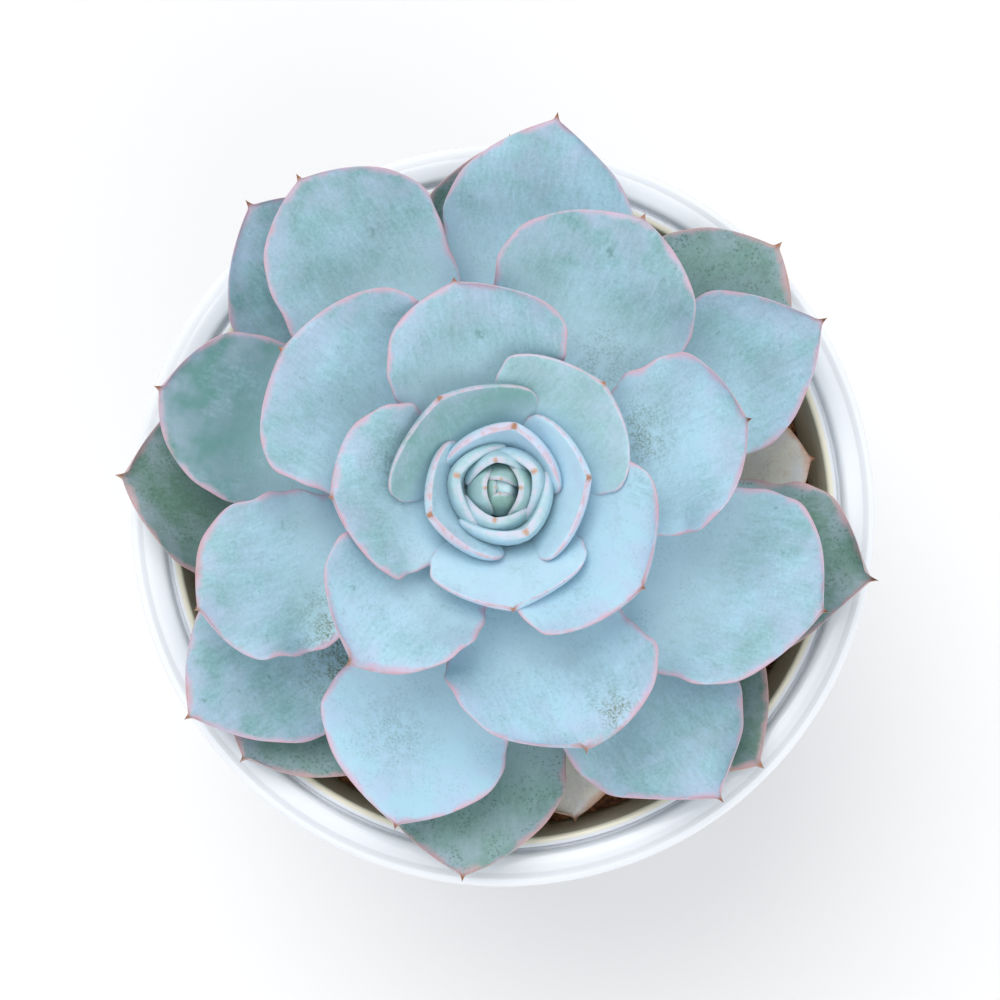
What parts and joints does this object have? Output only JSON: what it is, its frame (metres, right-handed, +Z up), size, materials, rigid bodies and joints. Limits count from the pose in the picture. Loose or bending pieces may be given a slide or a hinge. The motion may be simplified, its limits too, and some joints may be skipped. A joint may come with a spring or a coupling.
{
  "type": "potted succulent",
  "caption": "Rosette succulent with broad, powdery blue-green spoon-shaped leaves edged in pink, growing from soil in a round white plastic pot with a rolled rim.",
  "frame": {"origin": "centre of the pot's flat underside", "axes": "+Z up through the pot; the pictured view looks down it with +Y towards the top of the picture and +X to its right"},
  "size_m": [0.1111, 0.1103, 0.1173],
  "materials": {
    "pot_plastic": "gloss",
    "potting_soil": "matte",
    "stem_bark": "matte",
    "leaf_bud": "matte",
    "leaf_grown": "matte",
    "leaf_old": "matte",
    "leaf_withered": "matte"
  },
  "bodies": {
    "root": {"pot": "pot_plastic", "soil": "potting_soil", "stem": "stem_bark", "leaf_01": "leaf_bud", "leaf_02": "leaf_bud", "leaf_03": "leaf_bud", "leaf_04": "leaf_bud", "leaf_05": "leaf_bud", "leaf_06": "leaf_bud", "leaf_07": "leaf_bud", "leaf_08": "leaf_bud", "leaf_09": "leaf_bud", "leaf_10": "leaf_bud", "leaf_11": "leaf_grown", "leaf_12": "leaf_grown", "leaf_13": "leaf_grown", "leaf_14": "leaf_grown", "leaf_15": "leaf_grown", "leaf_16": "leaf_grown", "leaf_17": "leaf_grown", "leaf_18": "leaf_grown", "leaf_19": "leaf_grown", "leaf_20": "leaf_grown", "leaf_21": "leaf_grown", "leaf_22": "leaf_grown", "leaf_23": "leaf_grown", "leaf_24": "leaf_grown", "leaf_25": "leaf_grown", "leaf_26": "leaf_grown", "leaf_27": "leaf_grown", "leaf_28": "leaf_grown", "leaf_29": "leaf_grown", "leaf_30": "leaf_grown", "leaf_31": "leaf_grown", "leaf_32": "leaf_old", "leaf_33": "leaf_old", "leaf_34": "leaf_old", "leaf_35": "leaf_old", "leaf_36": "leaf_old", "leaf_37": "leaf_old", "leaf_38": "leaf_old", "leaf_39": "leaf_old", "leaf_40": "leaf_old", "leaf_41": "leaf_old", "leaf_42": "leaf_withered", "leaf_43": "leaf_withered", "leaf_44": "leaf_withered"}
  },
  "joints": []
}
